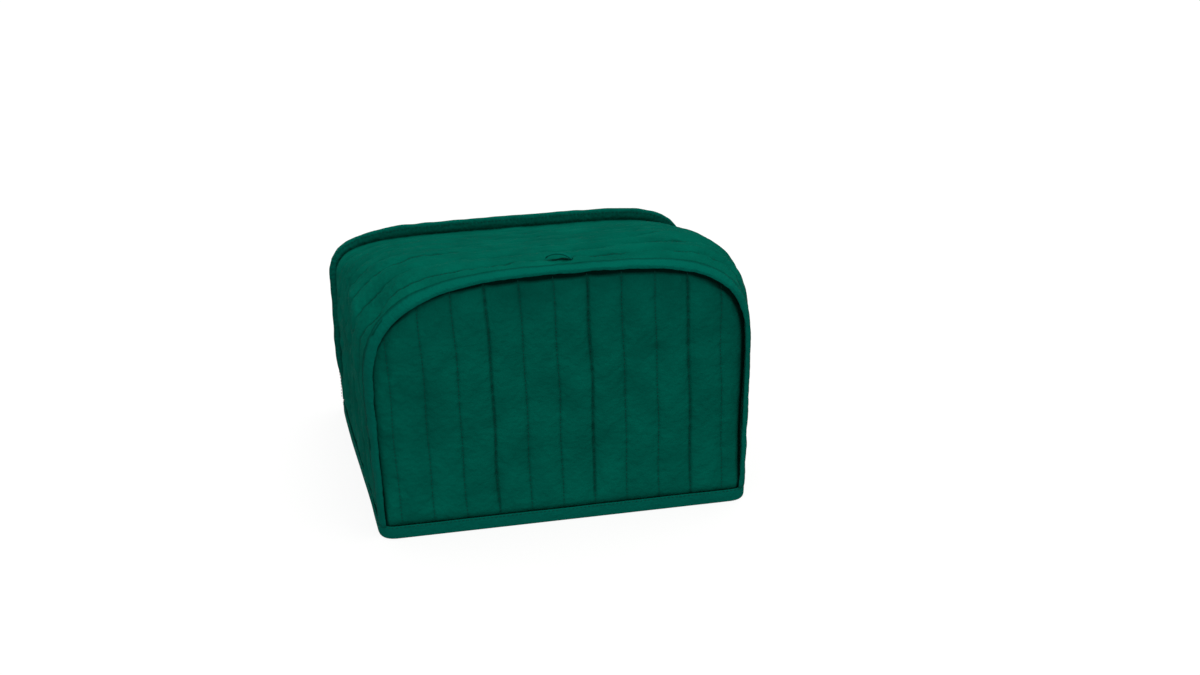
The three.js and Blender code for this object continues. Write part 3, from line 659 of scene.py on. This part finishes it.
# Front binding
# Bias tape of the same cotton, rolled over the seam between front panel and gusset into a soft band that
# stands forward of the panel. Its foot draws back where it meets the hem.
BAND_THICKNESS = 0.0044
BAND_STEPS = 150
BAND_PROFILE = 10  # points on the band's face, and as many inside
BINDING_TUCK = 0.001  # how far a binding's ends go down into the hem
FOOT_SETBACK = 0.0026
FOOT_FADE = 0.030

# Its dye runs between the first two greens; the third is the dark green of its painted shade
bias_tape = green_cloth("green bias tape", "01695a", "015c4f", "013a31", 0.88)
band_depths = np.array([0.0046, 0.0058, 0.0070, 0.0081])
band_outlines = np.stack([outline("front_binding", FRONT + d, BAND_STEPS) for d in band_depths], 1)
band_outlines = smoothed(band_outlines, 2)


def band_place(depth):
    """The band's outer surface at a distance behind its tip, carried on in a line before the first outline"""
    slope = (band_outlines[:, 2] - band_outlines[:, 0]) / (band_depths[2] - band_depths[0])
    near = band_outlines[:, 0] + slope * (depth - band_depths[0])
    if depth <= band_depths[0]:
        return near
    return np.stack([
        [np.interp(depth, band_depths, row[:, k]) for row in band_outlines] for k in range(3)
    ], -1)


run = np.gradient(band_outlines[:, 0], axis=0)
band_out = np.stack([-run[:, 2], np.zeros(len(run)), run[:, 0]], -1)
band_out /= np.linalg.norm(band_out, axis=1, keepdims=True)
band_along = np.linspace(-HALF_LENGTH, HALF_LENGTH, len(run))
foot = 1 - smoothstep(band_outlines[:, 0, 2] - HEM_TOP, 0, FOOT_FADE)
rings = []
for turn in np.linspace(0, math.pi, 2 * BAND_PROFILE):
    # From the rear edge outside, round the tip, to the rear edge inside
    depth = BAND_DEPTH * (1 - np.sin(turn) ** 0.55)
    proud = BAND_THICKNESS * (np.sign(np.cos(turn)) * abs(np.cos(turn)) ** 0.5 - 1) / 2
    slack = 0.00022 * unevenness(band_along, 0 * band_along + turn * 0.01, 0.020, 71)
    slack += 0.00014 * unevenness(band_along, 0 * band_along, 0.008, 72)
    point = band_place(depth) + band_out * (proud + slack + 0.0002)[:, None]
    point[:, 1] = FRONT + depth + FOOT_SETBACK * foot * (1 - depth / BAND_DEPTH)
    rings.append(point)
band_rings = np.stack(rings, 1)
band_rings[[0, -1], :, 2] = HEM_TOP - BINDING_TUCK
band_flat = np.stack([
    np.broadcast_to(band_along[:, None], band_rings.shape[:2]),
    np.broadcast_to(np.linspace(0, 0.024, 2 * BAND_PROFILE)[None], band_rings.shape[:2]),
], -1)
band_painted_shade = np.zeros(band_rings.shape[:2])
# Painted shade along both rear edges of the band, where it meets the cloth
band_painted_shade[:, [0, -1]] = 0.6
front_binding = ring_object("front_binding_tape", band_rings, band_flat, bias_tape, band_painted_shade)
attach(front_binding, "root")
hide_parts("front_binding")


# Rear binding
# Both edges of the rear seam, wrapped together in bias tape and sewn through at the foot. It stands
# straight out of the seam, highest over the top.
REAR_PROFILE = 16
REAR_STEPS = 300
REAR_FOOT = {"share": 0.3, "fade": 0.045}  # its height at the hem, and how far up it grows to the full one
REAR_PUCKER = {"high": 0.0003, "long": 0.0046}  # the seam at its foot draws it in at every stitch

rear_foot = outline("gusset", GUSSET_BOX[1][1] - 0.0008, REAR_STEPS)
rear_top = outline("back_binding", REAR - REAR_THICKNESS / 2, REAR_STEPS)
run = np.gradient(smoothed(rear_foot[:, None], 12)[:, 0], axis=0)
rear_out = np.stack([-run[:, 2], np.zeros(len(run)), run[:, 0]], -1)
rear_out /= np.linalg.norm(rear_out, axis=1, keepdims=True)
rear_height = np.maximum(((rear_top - rear_foot) * rear_out).sum(1), 0.002)
for _ in range(24):
    rear_height[1:-1] = (rear_height[:-2] + 2 * rear_height[1:-1] + rear_height[2:]) / 4
grown = smoothstep(rear_foot[:, 2] - HEM_TOP, 0, REAR_FOOT["fade"])
rear_height *= REAR_FOOT["share"] + (1 - REAR_FOOT["share"]) * grown
rear_along = np.linspace(-0.300, 0.300, len(run))
lean = 0.0006 * unevenness(rear_along, 0 * rear_along, 0.060, 81)
rings = []
for turn in np.linspace(0, math.pi, REAR_PROFILE):
    # From the foot in front, over the top edge, to the foot behind
    deep = REAR_THICKNESS * (1 - np.sign(np.cos(turn)) * abs(np.cos(turn)) ** 0.45) / 2
    up = np.sin(turn) ** 0.5
    slack = 0.0002 * unevenness(rear_along, 0 * rear_along + turn * 0.01, 0.018, 82)
    point = rear_foot + rear_out * (up * rear_height - 0.0008 * (1 - up) + slack)[:, None]
    pucker = REAR_PUCKER["high"] * np.cos(rear_along * 2 * math.pi / REAR_PUCKER["long"])
    drawn = math.sin(math.pi * min(up, 1)) * (deep < REAR_THICKNESS / 2)
    point[:, 1] = REAR - REAR_THICKNESS + deep + lean * up - 0.0002 + pucker * drawn
    rings.append(point)
rear_rings = np.stack(rings, 1)
rear_rings[[0, -1], :, 2] = HEM_TOP - BINDING_TUCK
rear_flat = np.stack([
    np.broadcast_to(rear_along[:, None], rear_rings.shape[:2]),
    np.broadcast_to(np.linspace(0, 0.024, REAR_PROFILE)[None], rear_rings.shape[:2]),
], -1)
back_binding = ring_object("back_binding_tape", rear_rings, rear_flat, bias_tape)
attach(back_binding, "root")
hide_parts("back_binding")


# Hem binding
# One ring of bias tape, folded over the bottom edge all round and sewn through near its top. The cloth
# goes down into it behind its face.
HEM_THICKNESS = 0.0062
HEM_STEPS = 420
HEM_PROFILE = 24
HEM_FACE = 0.0011  # thickness of the tape's face, behind which its top dips to the cloth
HEM_DIP = 0.0024

loop = []
for angle in np.linspace(0, 2 * math.pi, 1440, endpoint=False):
    ray = Vector((math.cos(angle), math.sin(angle), 0))
    hit = trees["hem_binding"].ray_cast(Vector((0, 0, HEM_TOP * 0.6)) + ray, -ray)[0]
    loop.append((hit.x, hit.y))
loop = np.array(loop + loop[:1])
run = np.concatenate([[0], np.cumsum(np.hypot(*np.diff(loop, axis=0).T))])
places = np.linspace(0, run[-1], HEM_STEPS, endpoint=False)
hem_line = np.stack([np.interp(places, run, loop[:, 0]), np.interp(places, run, loop[:, 1])], -1)
for _ in range(3):
    hem_line = (np.roll(hem_line, 1, 0) + 2 * hem_line + np.roll(hem_line, -1, 0)) / 4
step = np.roll(hem_line, -1, 0) - np.roll(hem_line, 1, 0)
hem_out = np.stack([step[:, 1], -step[:, 0]], -1)
hem_out /= np.linalg.norm(hem_out, axis=1, keepdims=True)
rings = []
for turn in np.linspace(0, 2 * math.pi, HEM_PROFILE, endpoint=False):
    out = np.sign(np.cos(turn)) * abs(np.cos(turn)) ** 0.35
    up = np.sign(np.sin(turn)) * abs(np.sin(turn)) ** 0.35
    slack = 0.00022 * unevenness(places, 0 * places + turn * 0.004, 0.030, 91) * (up + 1) / 2
    inward = HEM_THICKNESS * (1 - out) / 2
    dip = HEM_DIP * smoothstep(inward, HEM_FACE * 0.6, HEM_FACE * 1.6) * (up + 1) / 2
    rings.append(np.stack([
        hem_line[:, 0] + hem_out[:, 0] * (slack - inward),
        hem_line[:, 1] + hem_out[:, 1] * (slack - inward),
        HEM_TOP * (up + 1) / 2 - dip + 0 * places,
    ], -1))
hem_rings = np.stack(rings, 1)
hem_flat = np.stack([
    np.broadcast_to(places[:, None], hem_rings.shape[:2]),
    np.broadcast_to(np.linspace(0, 0.032, HEM_PROFILE)[None], hem_rings.shape[:2]),
], -1)
hem_binding = ring_object("hem_binding_tape", hem_rings[::-1], hem_flat[::-1], bias_tape, endless=True)
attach(hem_binding, "root")
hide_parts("hem_binding")


# Lift loop
# A short strip of bias tape on the top behind the front binding, sewn down at both ends, so that it
# stands up as a low tunnel. A finger goes through it to lift the cover.
LOOP_ENDS = [Vector((-0.0065 + MIDDLE_X, -0.0822)), Vector((0.0110 + MIDDLE_X, -0.0928))]
LOOP_WIDTH = 0.0042
LOOP_THICKNESS = 0.0008
LOOP_RISE = 0.0040
LOOP_STEPS = 26
LOOP_COLUMNS = 9

along_loop = (LOOP_ENDS[1] - LOOP_ENDS[0]).normalized()
across_loop = Vector((-along_loop.y, along_loop.x))
loop_face = np.zeros((LOOP_STEPS, LOOP_COLUMNS, 3))
for i in range(LOOP_STEPS):
    for j in range(LOOP_COLUMNS):
        t = i / (LOOP_STEPS - 1)
        aside = (j / (LOOP_COLUMNS - 1) - 0.5) * LOOP_WIDTH
        spot = LOOP_ENDS[0].lerp(LOOP_ENDS[1], t) + across_loop * aside
        hit = trees["gusset"].ray_cast(Vector((spot.x, spot.y, 0.4)), Vector((0, 0, -1)))[0]
        arch = math.sin(math.pi * t) ** 0.6
        edge_roll = 1 - 0.12 * (2 * aside / LOOP_WIDTH) ** 4
        loop_face[i, j] = (spot.x, spot.y, hit.z + 0.0010 + LOOP_THICKNESS + LOOP_RISE * arch * edge_roll)
loop_flat = np.stack(np.meshgrid(
    np.linspace(0, 0.027, LOOP_STEPS), np.linspace(0, LOOP_WIDTH, LOOP_COLUMNS), indexing="ij",
), -1)
loop_under = loop_face - np.array([0, 0, LOOP_THICKNESS])
# Painted shade over the whole underside of the tape
loop_painted_shade = np.concatenate([np.zeros(loop_face.shape[:2]), np.ones(loop_face.shape[:2])], 1)
lift_loop = ring_object(
    "lift_loop_tape",
    np.concatenate([loop_face, loop_under[:, ::-1]], 1),
    np.concatenate([loop_flat, loop_flat[:, ::-1]], 1),
    bias_tape, loop_painted_shade,
)
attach(lift_loop, "root")
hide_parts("lift_loop")


# Stitches
# Lockstitch in spun polyester thread a shade darker than the cloth, about eight stitches to the inch. It
# holds the quilting of every piece, the foot of the rear binding, and the top of the hem.
STITCH_PITCH = 0.0032
STITCH_LENGTH = 0.0023
THREAD_WIDTH = 0.00055
SEAM_START = 0.001  # a seam starts this far over the hem
HEM_SEAM_DEPTH = 0.0014  # the hem's own seam runs this far under its top

sewing_thread = bpy.data.materials.new("green polyester thread")
sewing_thread.use_nodes = True
thread_tree = sewing_thread.node_tree
thread_shader = thread_tree.nodes["Principled BSDF"]
thread_place = add(thread_tree, "ShaderNodeTexCoord")
twist = add(thread_tree, "ShaderNodeTexNoise", {"Vector": thread_place.outputs["Object"]}, Scale=1800.0)
thread_dye = add(thread_tree, "ShaderNodeMix", {"Factor": twist.outputs["Fac"]}, data_type="RGBA")
thread_dye.inputs[6].default_value = srgb("013a31")
thread_dye.inputs[7].default_value = srgb("014c41")
thread_tree.links.new(thread_dye.outputs[2], thread_shader.inputs["Base Color"])
thread_shader.inputs["Roughness"].default_value = 0.65
thread_shader.inputs["Specular IOR Level"].default_value = 0.12

running_stitch = bpy.data.node_groups.new("running stitch", "GeometryNodeTree")
running_stitch.interface.new_socket("Geometry", in_out="INPUT", socket_type="NodeSocketGeometry")
for name, value in (("Pitch", STITCH_PITCH), ("Length", STITCH_LENGTH), ("Width", THREAD_WIDTH)):
    size_input = running_stitch.interface.new_socket(name, in_out="INPUT", socket_type="NodeSocketFloat")
    size_input.default_value = value
running_stitch.interface.new_socket("Geometry", in_out="OUTPUT", socket_type="NodeSocketGeometry")
given = add(running_stitch, "NodeGroupInput")
seams = add(running_stitch, "GeometryNodeMeshToCurve", {"Mesh": given.outputs["Geometry"]})
holes = add(
    running_stitch, "GeometryNodeResampleCurve",
    {"Curve": seams.outputs["Curve"], "Length": given.outputs["Pitch"]}, mode="LENGTH",
)
stitch_size = add(
    running_stitch, "ShaderNodeCombineXYZ",
    {"X": given.outputs["Width"], "Y": given.outputs["Width"], "Z": given.outputs["Length"]},
)
bead = add(running_stitch, "GeometryNodeMeshUVSphere", Segments=5, Rings=4, Radius=0.5)
along_seam = add(running_stitch, "GeometryNodeInputTangent")
laid = add(
    running_stitch, "FunctionNodeAlignRotationToVector", {"Vector": along_seam.outputs["Tangent"]}, axis="Z",
)
stitches = add(
    running_stitch, "GeometryNodeInstanceOnPoints",
    {
        "Points": holes.outputs["Curve"], "Instance": bead.outputs["Mesh"],
        "Rotation": laid.outputs["Rotation"], "Scale": stitch_size.outputs["Vector"],
    },
)
loose = add(running_stitch, "GeometryNodeRealizeInstances", {"Geometry": stitches.outputs["Instances"]})
dyed = add(
    running_stitch, "GeometryNodeSetMaterial", {"Geometry": loose.outputs["Geometry"]},
    Material=sewing_thread,
)
add(running_stitch, "NodeGroupOutput", {"Geometry": dyed.outputs["Geometry"]})


def stitched(name, lines):
    """Stitches along some lines of points, as one plain mesh"""
    points = np.concatenate(lines)
    starts = np.cumsum([0] + [len(line) for line in lines])
    edges = [(i, i + 1) for a, b in zip(starts, starts[1:]) for i in range(a, b - 1)]
    guide = bpy.data.objects.new(name + "_guide", bpy.data.meshes.new(name + "_guide"))
    guide.data.from_pydata(points.tolist(), edges, [])
    bpy.context.collection.objects.link(guide)
    guide.modifiers.new("stitch", "NODES").node_group = running_stitch
    evaluated = guide.evaluated_get(bpy.context.evaluated_depsgraph_get())
    mesh = bpy.data.meshes.new_from_object(evaluated)
    bpy.data.objects.remove(guide)
    mesh.name = name
    mesh.shade_smooth()
    thread = bpy.data.objects.new(name, mesh)
    bpy.context.collection.objects.link(thread)
    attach(thread, "root")


def panel_seams(face, lines, towards, top_margin):
    """The sewn lines of a panel as points on its face, from the hem to just under its edge"""
    seams = []
    for line in lines:
        columns = [int(np.abs(face[:, j, 0] - line[j]).argmin()) for j in range(face.shape[1])]
        points = np.stack([face[i, j] for j, i in enumerate(columns)])
        points[:, 0] = line
        points[:, 1] += towards * THREAD_WIDTH * 0.2
        top = face[columns[-1], -1, 2] - top_margin
        seams.append(points[(points[:, 2] > HEM_TOP + SEAM_START) & (points[:, 2] < top)])
    return seams


stitched("front_panel_stitches", panel_seams(front_face, front_lines, -1, 0.004))
stitched("back_panel_stitches", panel_seams(back_face, back_lines, 1, 0.002))


def gusset_line(places, proud):
    """A line along the whole gusset at some distances behind the tip, as points just over its face"""
    points = []
    for i, place in enumerate(places):
        at = [np.interp(place, behind[i], gusset_face[i, :, k]) for k in range(3)]
        out = [np.interp(place, behind[i], outwards[i, :, k]) for k in range(3)]
        points.append(np.array(at) + proud * np.array(out))
    points = np.array(points)
    return points[points[:, 2] > HEM_TOP + SEAM_START]


gusset_seams = [gusset_line(line, THREAD_WIDTH * 0.2) for line in line_places]
stitched("gusset_stitches", gusset_seams)

rear_seam = rear_rings[:, 2] + np.array([0, -THREAD_WIDTH * 0.3, 0]) + rear_out * 0.0012
rear_seam = rear_seam[rear_seam[:, 2] > HEM_TOP + SEAM_START]
hem_seam = np.concatenate([hem_line, hem_line[:1]])
hem_seam = np.column_stack([hem_seam, np.full(len(hem_seam), HEM_TOP - HEM_SEAM_DEPTH)])
stitched("binding_stitches", [rear_seam, hem_seam])
